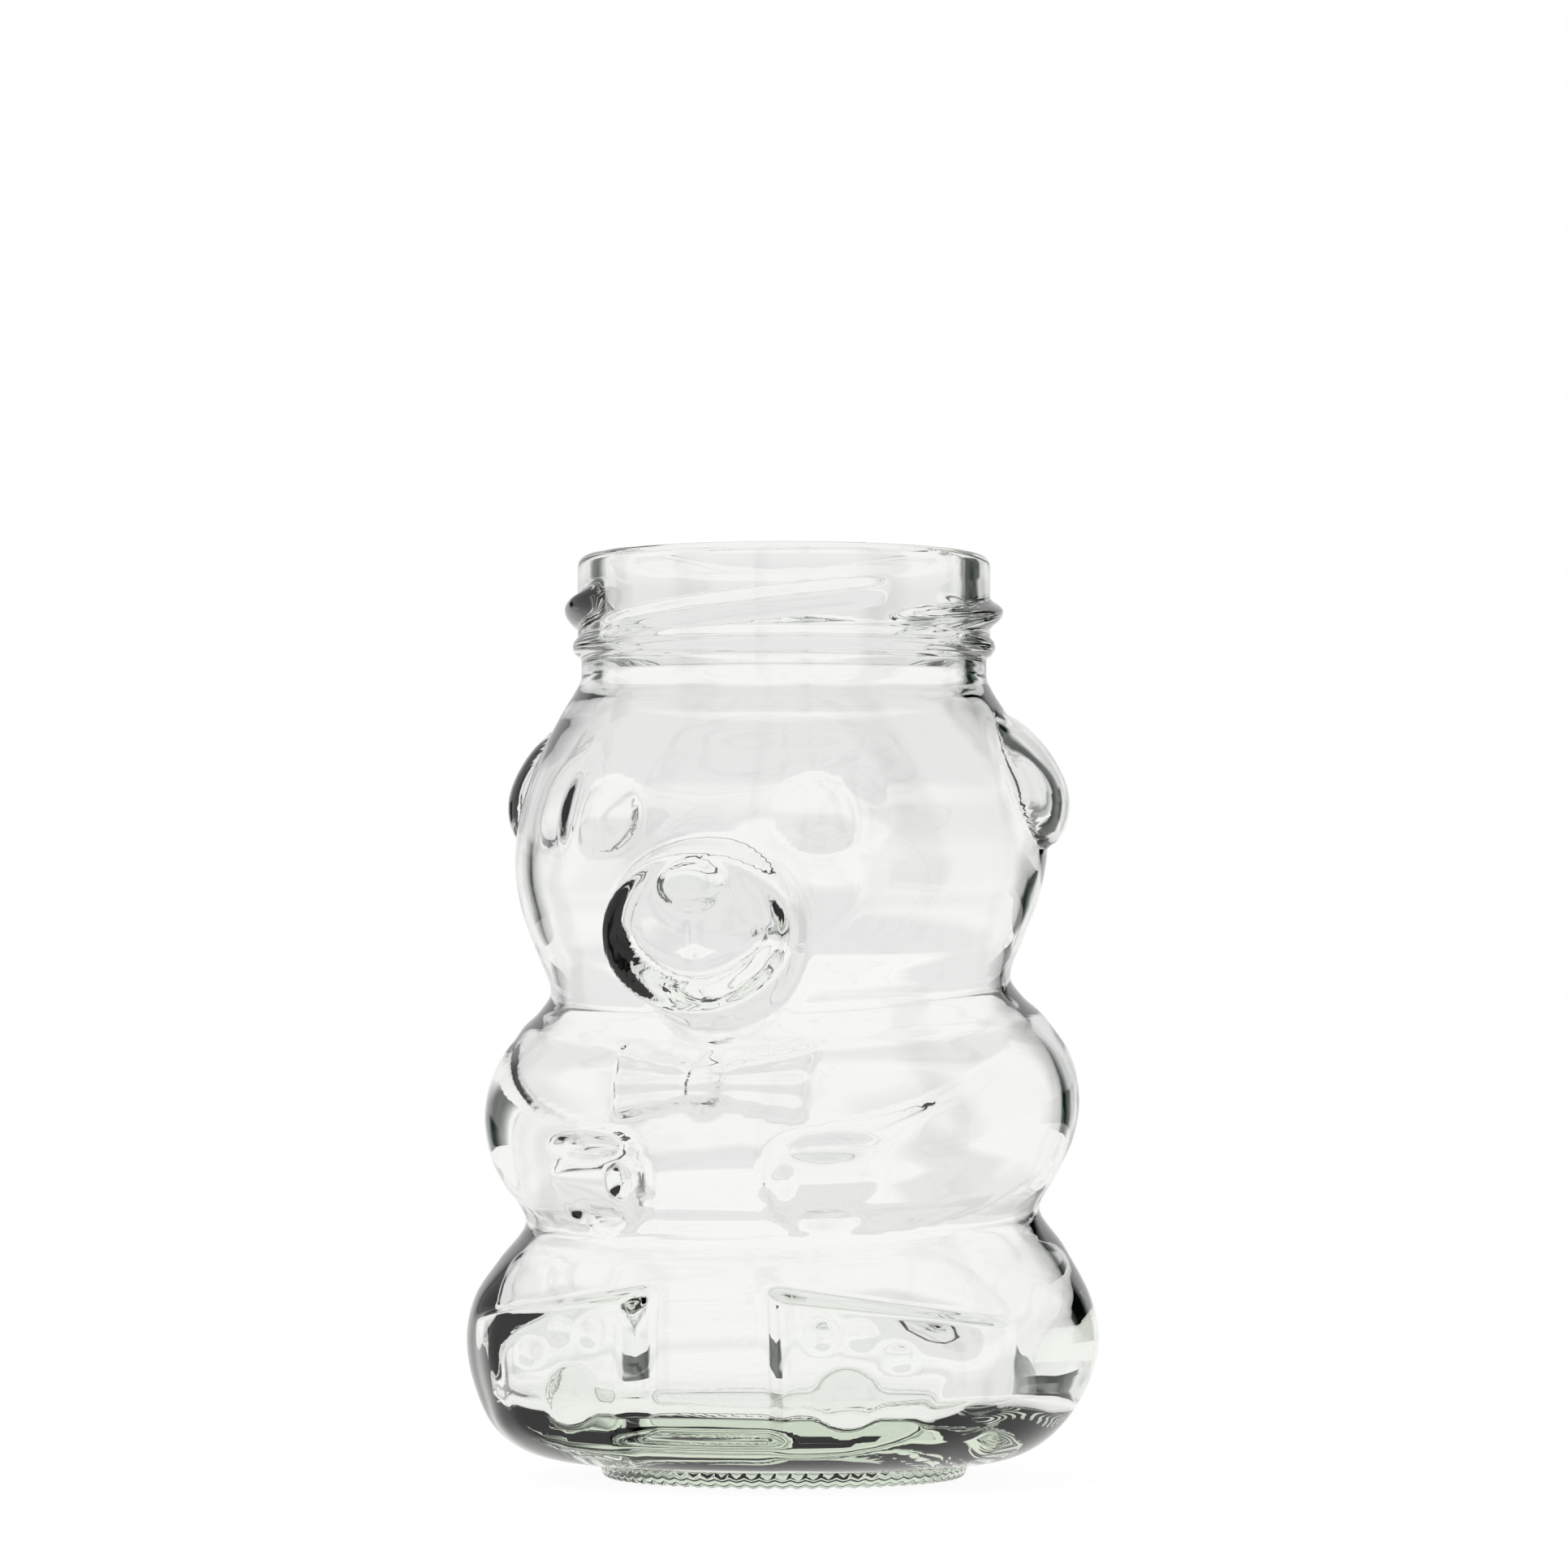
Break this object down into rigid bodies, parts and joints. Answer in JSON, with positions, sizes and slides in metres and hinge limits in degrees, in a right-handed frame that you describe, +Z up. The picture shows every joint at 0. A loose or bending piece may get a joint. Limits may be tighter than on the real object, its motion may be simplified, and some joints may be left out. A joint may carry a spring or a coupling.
{
  "type": "honey bear jar",
  "caption": "Clear glass honey jar shaped as a sitting bear with a bow tie, with an open lug-thread mouth on its head and a knurled round foot.",
  "frame": {"origin": "centre of the standing ring, on the axis of the mouth, in the plane the jar stands on", "axes": "+Z up out of the mouth, -Y out of the bear's face, +X to the bear's left"},
  "size_m": [0.0828, 0.0769, 0.1196],
  "materials": {
    "glass": "clear container glass, polished, with a faint green tint where it is thick"
  },
  "bodies": {
    "root": {"finish": "glass", "bear_body": "glass", "base": "glass"}
  },
  "joints": []
}
